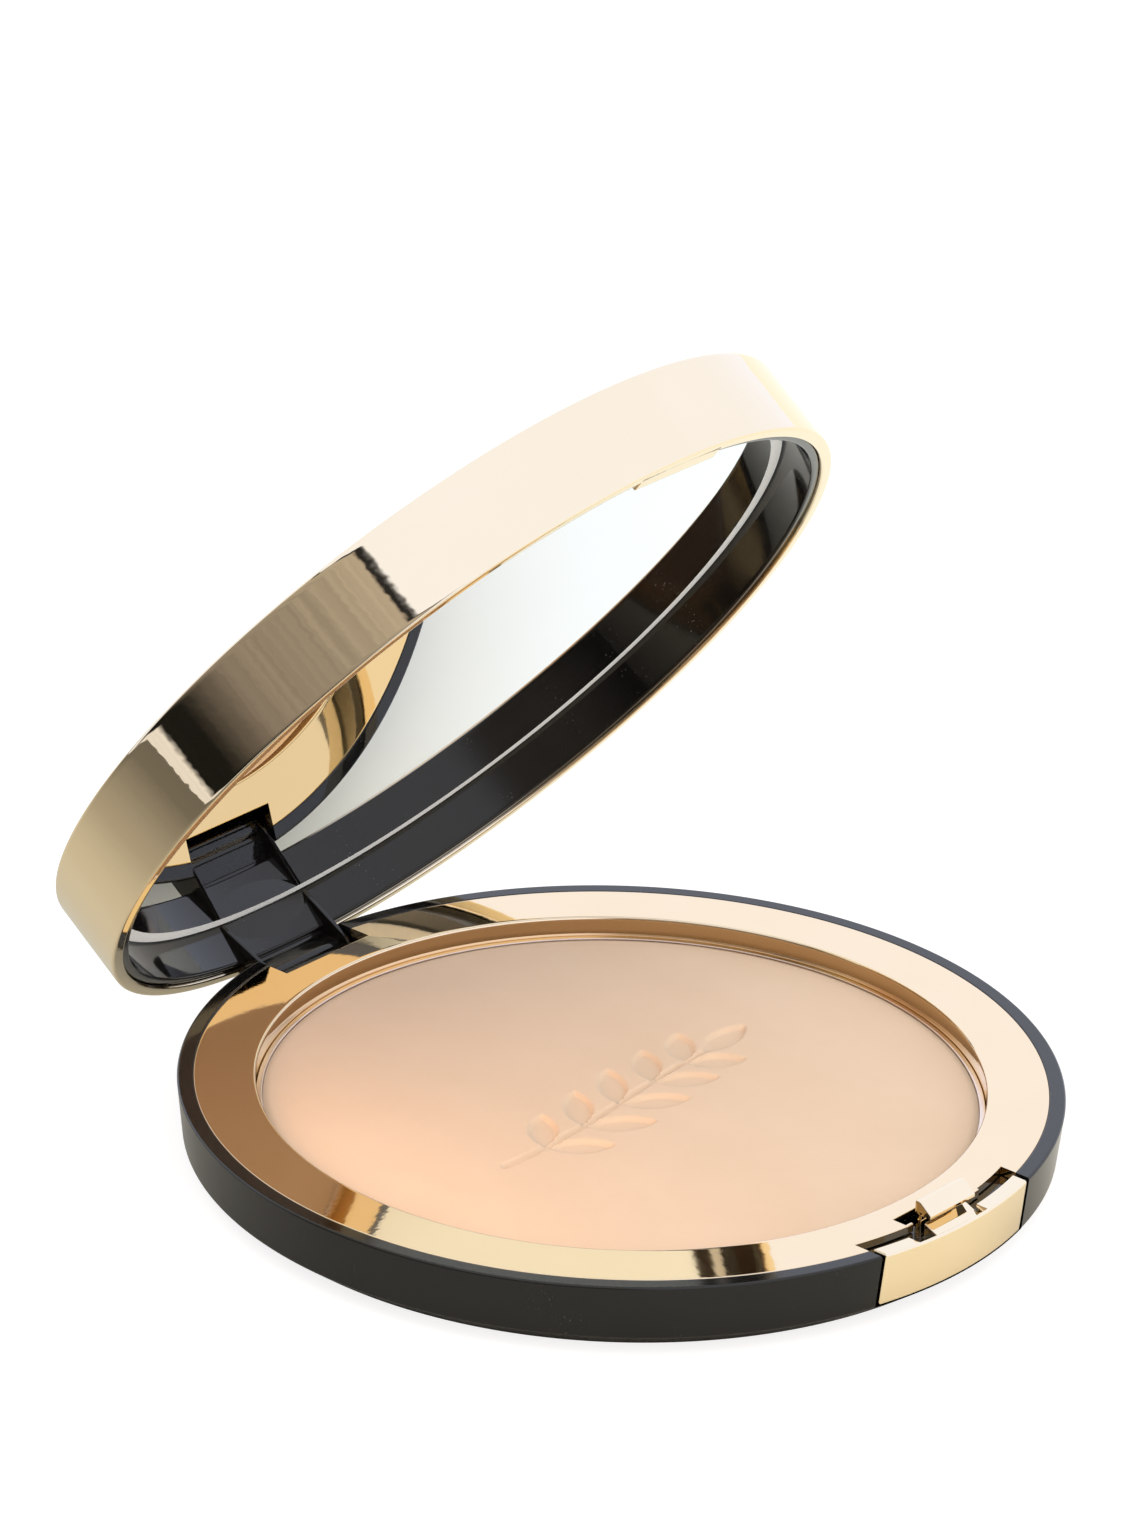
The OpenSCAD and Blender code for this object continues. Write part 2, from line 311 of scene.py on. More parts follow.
def make_mesh(name, solids, on_lid=False, sharp=34, finishes=None):
    """One mesh from several (points, faces) solids, in millimetres, with clean faces. An edge is
    sharp from that many degrees on. finishes gives the number of each solid's material, where
    there is more than one."""
    points, faces, first = [], [], 0
    for p, f in solids:
        points.append(np.asarray(p, float))
        faces += [[first + v for v in face] for face in f]
        first += len(p)
    points = np.concatenate(points)
    mesh = bpy.data.meshes.new(name)
    mesh.from_pydata((turn_lid(points, lid_open) if on_lid else points) * MM, [], faces)
    if finishes:
        number_faces(mesh, np.repeat(finishes, [len(f) for _, f in solids]))
    work = bmesh.new()
    work.from_mesh(mesh)
    bmesh.ops.remove_doubles(work, verts=work.verts, dist=0.002 * MM)
    bmesh.ops.dissolve_degenerate(work, edges=work.edges, dist=0.001 * MM)
    work.to_mesh(mesh)
    work.free()
    mesh.polygons.foreach_set("use_smooth", np.ones(len(mesh.polygons), bool))
    mesh.set_sharp_from_angle(angle=math.radians(sharp))
    mesh.update()
    return mesh


def add_piece(name, mesh, body, slot, nodes, *materials):
    """Puts a mesh in the scene as a finished piece that stands for those CAD nodes."""
    piece = bpy.data.objects.new(name, mesh)
    bpy.context.scene.collection.objects.link(piece)
    for m in materials:
        mesh.materials.append(m)
    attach(piece, body)
    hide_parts(*nodes)
    triangles = sum(len(p.vertices) - 2 for p in mesh.polygons)
    print(f"{name}: {len(mesh.vertices)} points, {triangles} triangles, on body {body}")
    return piece


# %% [markdown]
# ## Effects that several materials share
# Plating, gloss plastic and glass all show the same small things: faint handling marks, the
# slight waviness of a moulding, and a little dust. Each is a node group with named inputs, so a
# material only says how strong it is. The groups give values and colours, and the shader stays
# in the material.


# %% Helpers for node groups
def new_group(name, inputs, outputs):
    """An empty node group with these inputs (name, default) and outputs (name, kind)."""
    group = bpy.data.node_groups.new(name, "ShaderNodeTree")
    for label, value in inputs:
        kind = "NodeSocketColor" if isinstance(value, tuple) else "NodeSocketFloat"
        socket = group.interface.new_socket(name=label, in_out="INPUT", socket_type=kind)
        socket.default_value = value
    for label, kind in outputs:
        group.interface.new_socket(name=label, in_out="OUTPUT", socket_type=kind)
    return group, group.nodes.new("NodeGroupInput"), group.nodes.new("NodeGroupOutput")


def add(tree, kind, **values):
    """A node with some of its properties or input sockets set. Socket names use spaces as _."""
    node = tree.nodes.new("ShaderNode" + kind)
    for key, value in values.items():
        if hasattr(node, key):
            setattr(node, key, value)
        else:
            node.inputs[key.replace("_", " ")].default_value = value
    return node


def link(tree, *pairs):
    """Joins sockets: each pair is (output, input)."""
    for out, into in pairs:
        tree.links.new(out, into)


def feed(tree, socket, value):
    """Joins another node's output to a socket, or sets it to a number or an (r, g, b) colour."""
    if isinstance(value, bpy.types.NodeSocket):
        tree.links.new(value, socket)
    else:
        socket.default_value = (*value, 1.0) if socket.type == "RGBA" else value


def mapped(tree, noise, low, high, first=0.35, last=0.65):
    """Noise spread from its middle range to the given low and high sockets or numbers."""
    node = add(tree, "MapRange", From_Min=first, From_Max=last)
    for label, value in (("Value", noise), ("To Min", low), ("To Max", high)):
        feed(tree, node.inputs[label], value)
    return node.outputs["Result"]


def mixed(tree, share, first, second, blend_type="MIX"):
    """Two colours mixed. A Mix node holds sockets for numbers, vectors and colours side by side:
    input 0 is the share, inputs 6 and 7 are the colours, and output 2 is their mixture."""
    node = add(tree, "Mix", data_type="RGBA", blend_type=blend_type)
    for k, value in ((0, share), (6, first), (7, second)):
        feed(tree, node.inputs[k], value)
    return node.outputs[2]


# %% Handling marks: a roughness that varies
marks, marks_in, marks_out = new_group(
    "handling_marks",
    [("Smooth", 0.05), ("Rubbed", 0.12), ("Size", 120.0)],
    [("Roughness", "NodeSocketFloat")],
)
place = add(marks, "TexCoord")
smudge = add(marks, "TexNoise", Detail=3.0, Roughness=0.55)
fine = add(marks, "TexNoise", Scale=2600.0, Detail=2.0)
both = add(marks, "Math", operation="MULTIPLY_ADD")
both.inputs[1].default_value = 0.25
link(
    marks,
    (place.outputs["Object"], smudge.inputs["Vector"]),
    (place.outputs["Object"], fine.inputs["Vector"]),
    (marks_in.outputs["Size"], smudge.inputs["Scale"]),
    (fine.outputs["Fac"], both.inputs[0]),
    (smudge.outputs["Fac"], both.inputs[2]),
)
smooth, rubbed = marks_in.outputs["Smooth"], marks_in.outputs["Rubbed"]
link(marks, (mapped(marks, both.outputs[0], smooth, rubbed, 0.5, 0.85), marks_out.inputs["Roughness"]))

# %% Moulded waviness: a height for bump
waves, waves_in, waves_out = new_group(
    "moulded_waves",
    [("Size", 700.0), ("Long size", 90.0), ("Long share", 0.5)],
    [("Height", "NodeSocketFloat")],
)
place = add(waves, "TexCoord")
short = add(waves, "TexNoise", Detail=1.0)
broad = add(waves, "TexNoise", Detail=1.0)
both = add(waves, "Math", operation="MULTIPLY_ADD")
link(
    waves,
    (place.outputs["Object"], short.inputs["Vector"]),
    (place.outputs["Object"], broad.inputs["Vector"]),
    (waves_in.outputs["Size"], short.inputs["Scale"]),
    (waves_in.outputs["Long size"], broad.inputs["Scale"]),
    (broad.outputs["Fac"], both.inputs[0]),
    (waves_in.outputs["Long share"], both.inputs[1]),
    (short.outputs["Fac"], both.inputs[2]),
    (both.outputs[0], waves_out.inputs["Height"]),
)

# %% Dust: a mask of sparse specks
dust, dust_in, dust_out = new_group(
    "dust_specks",
    [("Size", 2400.0), ("Amount", 0.5)],
    [("Mask", "NodeSocketFloat")],
)
place = add(dust, "TexCoord")
cells = add(dust, "TexVoronoi", feature="F1")
patches = add(dust, "TexNoise", Scale=260.0, Detail=2.0)
near = add(dust, "MapRange", From_Min=0.16, From_Max=0.05, To_Min=0.0, To_Max=1.0)
some = add(dust, "MapRange", From_Min=0.56, From_Max=0.72)
product = add(dust, "Math", operation="MULTIPLY")
scaled = add(dust, "Math", operation="MULTIPLY")
link(
    dust,
    (place.outputs["Object"], cells.inputs["Vector"]),
    (place.outputs["Object"], patches.inputs["Vector"]),
    (dust_in.outputs["Size"], cells.inputs["Scale"]),
    (cells.outputs["Distance"], near.inputs["Value"]),
    (patches.outputs["Fac"], some.inputs["Value"]),
    (near.outputs["Result"], product.inputs[0]),
    (some.outputs["Result"], product.inputs[1]),
    (product.outputs[0], scaled.inputs[0]),
    (dust_in.outputs["Amount"], scaled.inputs[1]),
    (scaled.outputs[0], dust_out.inputs["Mask"]),
)

# %% Tint: two colours mixed by soft noise
tint, tint_in, tint_out = new_group(
    "tint_shift",
    [("First", (0.5, 0.5, 0.5, 1.0)), ("Second", (0.6, 0.6, 0.6, 1.0)), ("Size", 60.0), ("Detail", 2.0)],
    [("Color", "NodeSocketColor")],
)
place = add(tint, "TexCoord")
cloud = add(tint, "TexNoise", Roughness=0.6)
share = mapped(tint, cloud.outputs["Fac"], 0.0, 1.0)
link(
    tint,
    (place.outputs["Object"], cloud.inputs["Vector"]),
    (tint_in.outputs["Size"], cloud.inputs["Scale"]),
    (tint_in.outputs["Detail"], cloud.inputs["Detail"]),
    (mixed(tint, share, tint_in.outputs["First"], tint_in.outputs["Second"]), tint_out.inputs["Color"]),
)
print("node groups:", [g.name for g in bpy.data.node_groups])

# %% [markdown]
# ## Finishes
# One function makes a finish: two close colours, a range of roughness, a height for bump and a
# share of dust. Constants such as metal, glass and clear coat go straight on the shader.


# %% Make a finish from the shared effects
def group_node(tree, group, **values):
    """One of the shared effects placed in a material, with its input sockets set."""
    node = tree.nodes.new("ShaderNodeGroup")
    node.node_tree = group
    for key, value in values.items():
        node.inputs[key.replace("_", " ")].default_value = value
    return node


def finish(name, first, second, smooth, rubbed, wave_um=0.5, wave=(700.0, 90.0, 0.5), tint_size=60.0,
           tint_detail=2.0, mark_size=120.0, dust_amount=0.0, dust_colour=(0.5, 0.47, 0.43), **constants):
    """A material whose colour, roughness and bump all vary over the surface. wave_um is the
    height of the waviness in thousandths of a millimetre."""
    material = bpy.data.materials.new(name)
    material.use_nodes = True
    tree = material.node_tree
    tree.nodes.clear()
    shader, out = add(tree, "BsdfPrincipled"), add(tree, "OutputMaterial")
    for key, value in constants.items():
        shader.inputs[key.replace("_", " ")].default_value = value
    colour = group_node(tree, tint, First=(*first, 1.0), Second=(*second, 1.0), Size=tint_size,
                        Detail=tint_detail).outputs[0]
    if dust_amount:
        specks = group_node(tree, dust, Amount=dust_amount)
        colour = mixed(tree, specks.outputs[0], colour, dust_colour)
    rough = group_node(tree, marks, Smooth=smooth, Rubbed=rubbed, Size=mark_size)
    height = group_node(tree, waves, Size=wave[0], Long_size=wave[1], Long_share=wave[2])
    bump = add(tree, "Bump", Strength=1.0, Distance=wave_um * 1e-6)
    link(
        tree,
        (colour, shader.inputs["Base Color"]),
        (rough.outputs[0], shader.inputs["Roughness"]),
        (height.outputs[0], bump.inputs["Height"]),
        (bump.outputs[0], shader.inputs["Normal"]),
        (shader.outputs[0], out.inputs["Surface"]),
    )
    return material


gold = finish("gold_plate", (0.925, 0.765, 0.515), (0.935, 0.775, 0.53), 0.02, 0.045, wave_um=5.0,
              wave=(900.0, 90.0, 0.4), Metallic=1.0)
gold_ring = finish("gold_plate_ring", (0.925, 0.715, 0.44), (0.935, 0.73, 0.46), 0.03, 0.055, wave_um=1.6,
                   wave=(1200.0, 140.0, 0.6), Metallic=1.0)
black = finish("black_gloss", (0.004, 0.004, 0.004), (0.006, 0.006, 0.006), 0.05, 0.13, wave_um=1.2,
               dust_amount=0.2, IOR=1.47, Specular_IOR_Level=0.38)
black_foot = finish("black_satin_foot", (0.004, 0.004, 0.004), (0.007, 0.007, 0.007), 0.5, 0.65, wave_um=2.0,
                    IOR=1.45, Specular_IOR_Level=0.25)
black_moulded = finish("black_gloss_liner", (0.005, 0.005, 0.005), (0.008, 0.008, 0.008), 0.05, 0.12,
                       wave_um=2.0, wave=(500.0, 60.0, 0.8), dust_amount=0.4, IOR=1.5,
                       Specular_Tint=(1.0, 0.92, 0.74, 1.0))
pan_metal = finish("pan_metal", (0.92, 0.76, 0.62), (0.95, 0.80, 0.66), 0.3, 0.45, wave_um=3.0, Metallic=1.0)
mirror_silver = finish("mirror_glass", (0.91, 0.93, 0.98), (0.92, 0.94, 0.99), 0.0, 0.012, wave_um=0.06,
                       mark_size=60.0, Metallic=1.0)
# painted light: the ground edge glows a little (Emission 0.16) so that its line stays pale
glowing_ground_edge = finish("mirror_ground_edge", (0.84, 0.91, 0.95), (0.90, 0.96, 0.98), 0.28, 0.42, wave_um=6.0,
                     wave=(2600.0, 400.0, 0.5), tint_size=900.0, Emission_Color=(0.9, 0.97, 1.0, 1.0),
                     Emission_Strength=0.16)
steel = finish("spring_steel", (0.52, 0.53, 0.55), (0.62, 0.63, 0.64), 0.22, 0.38, wave_um=2.0,
               tint_size=300.0, Metallic=1.0)
label_film = finish("label_film", (0.74, 0.72, 0.68), (0.80, 0.78, 0.74), 0.3, 0.45, wave_um=3.0,
                    tint_size=40.0, dust_amount=0.3)
foam_tape = finish("foam_tape", (0.78, 0.78, 0.75), (0.88, 0.88, 0.86), 0.75, 0.92, wave_um=30.0,
                   wave=(3000.0, 600.0, 0.5), tint_size=2000.0)
hot_glue = finish("hot_glue", (0.72, 0.68, 0.56), (0.80, 0.77, 0.66), 0.25, 0.4, wave_um=20.0,
                  tint_size=200.0, IOR=1.48, Subsurface_Weight=0.2, Subsurface_Scale=0.0006)
top_acrylic = finish("top_acrylic", (0.004, 0.004, 0.0045), (0.006, 0.006, 0.0065), 0.03, 0.09, wave_um=0.6,
                     dust_amount=0.3, IOR=1.47, Specular_IOR_Level=0.35, Specular_Tint=(1.0, 0.98, 0.94, 1.0))

# %% [markdown]
# Pressed powder is very fine grains, so it is matt with a soft glow at low angles. Its colour
# wanders a little, and a few grains are paler or browner than the rest. Where plating shows the
# powder, and where the mirror shows the ring's gold, the colour carries painted shade: rays that
# come by way of a gloss surface meet a darker, browner colour.

# %% The powder's finish
powder = finish("pressed_powder", (0.690, 0.566, 0.432), (0.715, 0.592, 0.462), 0.82, 0.95, wave_um=14.0,
                wave=(3400.0, 500.0, 0.5), tint_size=70.0, tint_detail=6.0, dust_amount=0.10,
                dust_colour=(0.62, 0.40, 0.25), IOR=1.4, Specular_IOR_Level=0.25, Sheen_Weight=0.12,
                Sheen_Roughness=0.5)


def painted_shade_in_reflections(material, shade):
    """Multiplies the base colour by shade where a ray comes by way of a gloss surface."""
    tree = material.node_tree
    shader = next(n for n in tree.nodes if n.type == "BSDF_PRINCIPLED")
    plain_colour = shader.inputs["Base Color"].links[0].from_socket
    by_gloss = add(tree, "LightPath").outputs["Is Glossy Ray"]
    link(tree, (mixed(tree, by_gloss, plain_colour, shade, "MULTIPLY"), shader.inputs["Base Color"]))


# painted shade: the powder is darker and browner where plating or the mirror shows it
painted_shade_in_reflections(powder, (0.50, 0.42, 0.33))
# painted shade: the ring's gold is darker where the mirror shows it
painted_shade_in_reflections(gold_ring, (0.97, 0.82, 0.52))
print("materials:", len(bpy.data.materials))

# %% [markdown]
# ## Base shell
# The base is injection moulded in gloss black plastic. Its outline runs along the underside,
# with a shallow recess for the label, up the slightly leaning side, over the flat top edge,
# down into the channel round the well, and across the floor. The hinge notch at the back and
# the button's opening at the front cut the outer wall down to the undercut's height.

# %% Build the base shell
base_inner = 36.0
label_r, label_recess = 20, 0.3
well_wall_r, well_wall_t = well_r + 1.7, 0.8


def base_outline(cut_r=None):
    """Corners of the base. With cut_r, the outer wall ends at the undercut's height there. Both
    forms have as many corners, so their columns join."""
    low = [
        (0, label_recess, 0), (label_r, label_recess, 0), (label_r, 0, 0.08), (foot_r, 0, 0.3),
        (wall_foot_r, undercut_h, 0.15),
    ]
    if cut_r is None:
        wall = [
            (case_r, base_h - edge_chamfer, 0.1), (case_r - edge_chamfer, base_h, 0.1),
            (ring_r, base_h, 0.12), (ring_r, ring_seat, 0), (channel_r, ring_seat, 0),
        ]
    else:
        wall = [(wall_foot_r - 0.01, undercut_h + 0.001, 0.22), (wall_foot_r - 0.02, undercut_h + 0.002, 0.2),
                (cut_r, undercut_h, 0.12), (cut_r, undercut_h, 0), (cut_r, undercut_h, 0)]
    well_wall_in = well_wall_r - well_wall_t
    well = [
        (channel_r, floor_z, 0), (well_wall_r, floor_z, 0), (well_wall_r, ring_seat, 0),
        (well_wall_in, ring_seat, 0), (well_wall_in, floor_z, 0), (0, floor_z, 0),
    ]
    return low + wall + well


cut_outline = base_outline(channel_r)
front_left, front_right = (station("front", x, base_inner) for x in (-opening_half, opening_half))
back_right, back_left = (station("back", x, base_inner) for x in (notch_half, -notch_half))
base_solid = ring(
    cut_part("front", -opening_half, opening_half, base_inner, lambda x: cut_outline, 24),
    arc_part(front_right, back_right, base_outline(), 200),
    cut_part("back", notch_half, -notch_half, base_inner, lambda x: cut_outline, 14),
    arc_part(back_left, front_left, base_outline(), 200, turn=2 * math.pi),
)
base_mesh = make_mesh("base_shell_moulding", [base_solid])
add_piece("base_shell_moulding", base_mesh, "base", "black_gloss", ["base_shell"], black, black_foot,
          black_moulded)
centre_x, centre_y, centre_z = face_centres(base_mesh).T
under = (centre_z < undercut_h - 0.03) & (np.hypot(centre_x, centre_y) > foot_r - 1)
on_top = centre_z > base_h - edge_chamfer - 0.01
number_faces(base_mesh, under + 2 * on_top)
print("faces on the foot:", under.sum(), "and on the top edge:", on_top.sum())

# %% [markdown]
# ## Trim ring
# The ring is a plated moulding: a flat flange and a skirt that goes down beside the powder. At
# the front it is cut back for the button's travel, with a window for the catch. Two small
# fingers narrow the window's mouth, and the right one is part of a short tab.

# %% Build the trim ring
gap_r = ring_r - 1.6
window_half, throat_half = 4.3, 3.5
window_y = (-36.35, -34.9)
tab_x, tab_r = 5.5, gap_r + 0.25
skirt_t, skirt_z = 0.8, 2.6


def ring_outline(outer):
    """Corners of the ring, whose flange ends at that radius."""
    skirt_r = well_r + skirt_t
    return [
        (well_r, skirt_z, 0.15), (skirt_r, skirt_z, 0.15), (skirt_r, ring_seat, 0),
        (outer, ring_seat, 0.08), (outer, base_h, 0.1), (well_r, base_h, 0.26),
    ]


ring_inner = 32.0
full, gap, tab = ring_outline(ring_r), ring_outline(gap_r), ring_outline(tab_r)
gap_left, gap_right = (station("front", x, ring_inner) for x in (-opening_half, opening_half))
notch_right, notch_left = (station("back", x, ring_inner) for x in (notch_half, -notch_half))
window = lambda x: ring_outline(np.hypot(x, window_y[1]))
notch = lambda x: ring_outline(np.hypot(x, notch_y))
ring_solid = ring(
    cut_part("front", -opening_half, -window_half, ring_inner, lambda x: gap, 16),
    cut_part("front", -window_half, window_half, ring_inner, window, 20),
    cut_part("front", window_half, tab_x, ring_inner, lambda x: tab, 6),
    cut_part("front", tab_x, opening_half, ring_inner, lambda x: gap, 14),
    arc_part(gap_right, notch_right, full, 220),
    cut_part("back", notch_half, -notch_half, ring_inner, notch, 24),
    arc_part(notch_left, gap_left, full, 220, turn=2 * math.pi),
)


def finger(x0, x1, outer):
    """A short bar beside the throat, from the window's front edge out to that radius."""
    reach = 0.22 - outer  # at the throat the round edge lies that much nearer the middle
    return bar(x0, x1, [
        (reach, ring_seat, 0.05), (window_y[0], ring_seat, 0.05), (window_y[0], base_h, 0.1),
        (reach, base_h, 0.1),
    ], 0.08)


root = 0.1  # how far a finger runs into the ring beside it
left_finger = finger(-window_half - root, -throat_half, gap_r)
right_finger = finger(throat_half, window_half + root, tab_r)
ring_mesh = make_mesh("trim_ring_plated", [ring_solid, left_finger, right_finger])
add_piece("trim_ring_plated", ring_mesh, "base", "gold_plate", ["trim_ring"], gold_ring)

# %% [markdown]
# ## Pan
# The pan is pressed from thin metal. Its rolled rim shows as a pale line round the powder.

# %% Build the pan
lip_r = well_r - 0.03
pan_t = 0.4
pan_solid = turned([
    (0, pan_z, 0), (pan_r, pan_z, 0.35), (pan_r, pan_top - 0.5, 0.05), (lip_r, pan_top - 0.3, 0.08),
    (lip_r, pan_top, 0.12), (pan_r - pan_t, pan_top, 0.12), (pan_r - pan_t, pan_z + pan_t, 0),
    (0, pan_z + pan_t, 0),
])
add_piece("pan_pressed", make_mesh("pan_pressed", [pan_solid]), "base", "pan_metal", ["pan"], pan_metal)

# %% [markdown]
# ## Pressed powder
# The cake is pressed in its pan by a die, which leaves a soft mark in the middle: here a plain
# leaf sprig. A texture could fake the mark, but real depth looks right from every side. The
# face is a square grid bent into a disc, with its lines closest together in the middle, and the
# mark's depth comes from the distance to the sprig's stem and leaves.


# %% The sprig's depth
def capsule(x, y, x0, y0, x1, y1, w0, w1):
    """Signed distance to a rod from (x0, y0) to (x1, y1) whose half width goes from w0 to w1."""
    dx, dy = x1 - x0, y1 - y0
    t = np.clip(((x - x0) * dx + (y - y0) * dy) / (dx * dx + dy * dy), 0, 1)
    return np.hypot(x - x0 - t * dx, y - y0 - t * dy) - (w0 + t * (w1 - w0))


def leaf(x, y, x0, y0, angle, length, width):
    """Signed distance to a pointed leaf: the overlap of two circles that meet at its two ends."""
    c, s = math.cos(angle), math.sin(angle)
    u, v = (x - x0) * c + (y - y0) * s - length / 2, (y - y0) * c - (x - x0) * s
    reach, half = length / 2, width / 2
    offset = (reach**2 - half**2) / (2 * half)
    return np.hypot(u, np.abs(v) + offset) - (offset + half)


bend, bend_length = 1.1, 9.0
rods, rod_half, rod_taper = 8, 0.34, 0.02
leaf_width, leaf_lean = 2.5, 0.72
tip_x = 12.2


def stem_y(x):
    """The stem's line: a gentle wave, bend sin(x / bend_length)."""
    return bend * np.sin(x / bend_length)


def sprig_distance(x, y):
    """Signed distance to the whole sprig, which runs along X: the least of the distances to the
    rods of its bent stem, to its pairs of leaves, the longest near the middle, and to its tip."""
    stem_x = np.linspace(-17.5, 12.5, rods + 1)
    d = leaf(x, y, tip_x, stem_y(tip_x), 0.1, 6.4, leaf_width)
    for k, (x0, x1) in enumerate(zip(stem_x[:-1], stem_x[1:])):
        w = rod_half - rod_taper * k
        d = np.minimum(d, capsule(x, y, x0, stem_y(x0), x1, stem_y(x1), w, w - rod_taper))
    for k, at in enumerate((-12.5, -7.0, -1.5, 4.0, 9.0)):
        slope = math.atan(bend / bend_length * math.cos(at / bend_length))
        size = 6.6 - 0.55 * abs(k - 1.5)
        for side in (-1, 1):
            foot_y = stem_y(at) + side * 0.35
            d = np.minimum(d, leaf(x, y, at + 0.4, foot_y, slope + side * leaf_lean, size, leaf_width))
    return d


# %% Build the powder cake
def disc_grid(count, radius):
    """Square grid bent into a disc. With u = t (0.72 + 0.28 t^2) on both axes, the point is
    (u sqrt(1 - v^2 / 2), v sqrt(1 - u^2 / 2)) times the radius, so lines are closest mid-way."""
    t = np.linspace(-1, 1, count)
    t = t * (0.72 + 0.28 * t * t)
    u, v = np.meshgrid(t, t, indexing="ij")
    return radius * u * np.sqrt(1 - v * v / 2), radius * v * np.sqrt(1 - u * u / 2)


def edge_loop(count):
    """Numbers of the grid's border points, anticlockwise from its first corner."""
    n = np.arange(count - 1)
    last = count - 1
    return np.concatenate([n * count, last * count + n, (last - n) * count + last, last - n])


sprig_depth, sprig_soft, sprig_y = 0.42, 0.32, -0.6
ripple_height, ripples = 0.012, 6
edge_width, edge_drop = 0.75, 0.25
cake_n = 281
cake_x, cake_y = disc_grid(cake_n, powder_r - 0.02)
inside = np.clip(0.5 - sprig_distance(cake_x, cake_y - sprig_y) / sprig_soft, 0, 1)
press = sprig_depth * inside**2 * (3 - 2 * inside)
rng = np.random.default_rng(11)
ripple = sum(
    ripple_height * np.sin(cake_x * f * math.cos(a) + cake_y * f * math.sin(a) + p)
    for f, a, p in zip(rng.uniform(0.15, 0.5, ripples), rng.uniform(0, 6.28, ripples),
                       rng.uniform(0, 6.28, ripples))
)
edge = np.clip((powder_r - np.hypot(cake_x, cake_y)) / edge_width, 0, 1)
cake_z = powder_z - ripple_height * ripples - press + ripple * edge - edge_drop * (1 - edge) ** 2
print("the mark is", round(press.max(), 2), "mm deep")

# %% Close the cake below
loop = edge_loop(cake_n)
top_points = np.stack([cake_x, cake_y, cake_z], -1).reshape(-1, 3)
side_points = top_points[loop]
side_points[:, 2] = powder_low + 0.01
cake_points = np.concatenate([top_points, side_points, [[0, 0, powder_low + 0.01]]])
cake_faces = quads(cake_n, cake_n, False, False).tolist()
low_ids = len(top_points) + np.arange(len(loop))
middle_ids = np.full(len(loop), len(cake_points) - 1)
next_loop, next_low = np.roll(loop, -1), np.roll(low_ids, -1)
cake_faces += np.stack([loop, low_ids, next_low, next_loop], -1).tolist()
cake_faces += np.stack([next_low, low_ids, middle_ids], -1).tolist()
cake_mesh = make_mesh("powder_cake_pressed", [(cake_points, cake_faces)], sharp=60)
add_piece("powder_cake_pressed", cake_mesh, "base", "powder", ["powder_cake"], powder)

# %% [markdown]
# ## Push button
# The cap is a plated sector that completes the base's wall and top edge. Its top has a pocket
# with a sloping pad, which the lid's hook slides down as the lid closes.

# %% Build the button cap
cap_low = undercut_h + 0.1
cap_foot_r = wall_foot_r + wall_lean * 0.1 / (base_h - undercut_h)
pocket_x, pocket_r, pocket_z = (-5.9, 3.15), 39.7, base_h - 1.0
cap_inner = 36.0
soft_x = np.array([0.0, 0.03, 0.08, 0.15])  # distance of the last columns from the cap's end
soft_in = np.array([0.12, 0.07, 0.025, 0.0])  # how far each of them is drawn in
SIDE = 1e-4  # two columns this far apart make a straight side wall


def cap_outline(x, s):
    """Corners of the cap on the planes x, drawn in by s. In the pocket the top is lowered."""
    in_pocket = (x > pocket_x[0]) & (x < pocket_x[1])
    lip = np.where(in_pocket, pocket_r, ring_r + 0.02)
    floor = np.where(in_pocket, pocket_z, base_h)
    return [
        (ring_r + s, cap_low + s, 0.1), (cap_foot_r - s, cap_low + s, 0.15),
        (case_r - s, base_h - edge_chamfer, 0.1), (case_r - edge_chamfer, base_h - s, 0.1),
        (lip + s, base_h - s, 0.05), (lip + s, floor - s, 0), (ring_r + s, floor - s, 0.05),
    ]


def cap_columns():
    """x of each column and how far its outline is drawn in, with a pair at each pocket side."""
    left = np.linspace(-button_half + 0.25, pocket_x[0], 12)
    middle = np.linspace(pocket_x[0] + SIDE, pocket_x[1] - SIDE, 24)
    right = np.linspace(pocket_x[1], button_half - 0.25, 12)
    flat = np.concatenate([left, middle, right])
    x = np.concatenate([-button_half + soft_x, flat, (button_half - soft_x)[::-1]])
    return x, np.concatenate([soft_in, np.zeros(len(flat)), soft_in[::-1]])


cap_x, cap_shrink = cap_columns()
cap_outlines = rounded(corner_rows(len(cap_x), *cap_outline(cap_x, cap_shrink)))
cap_solid = capped(on_planes(cap_x, cap_outlines, cap_inner))

# %% Add the sloping pad
pad_half, pad_drop = 2.9, 0.85
pad_front, pad_step, pad_back = -39.4, -38.5, -37.35
pad = bar(-pad_half, pad_half, [
    (pad_front, slide_low - 0.1, 0.05), (pad_step, slide_low - 0.1, 0), (pad_step, slide_low, 0),
    (pad_back, slide_low, 0.05), (pad_back, base_h, 0.08), (pad_front, base_h - pad_drop, 0.08),
], 0.1)
cap_mesh = make_mesh("button_cap_plated", [cap_solid, pad])
add_piece("button_cap_plated", cap_mesh, "button", "gold_plate", ["button_cap"], gold)

# %% [markdown]
# ## Catch
# The catch is one moulding: a plate that slides under the ring, and a head on a stem. The
# head's front slopes, so that the lid's hook can push it back and drop behind its nose. Only
# the head is plated, because the plate is masked and stays black.

# %% Build the catch
catch_half, head_top = 3.1, base_h + 2.0
stem_front, stem_back, stem_low = -37.1, -36.4, 4.6
nose_y, nose_z, nose_t = -38.2, rim_z + 0.5, 0.3
head = bar(-catch_half, catch_half, [
    (stem_front, stem_low, 0), (stem_back, stem_low, 0), (stem_back, head_top, 0.12),
    (stem_back - 0.55, head_top, 0.1), (nose_y, nose_z + nose_t, 0.06), (nose_y, nose_z, 0.05),
    (stem_front, nose_z, 0.05),
], 0.08)
plate_half, tongue_half, plate_in_r = 12.3, 9.6, 36.0
plate_inner = 34.0


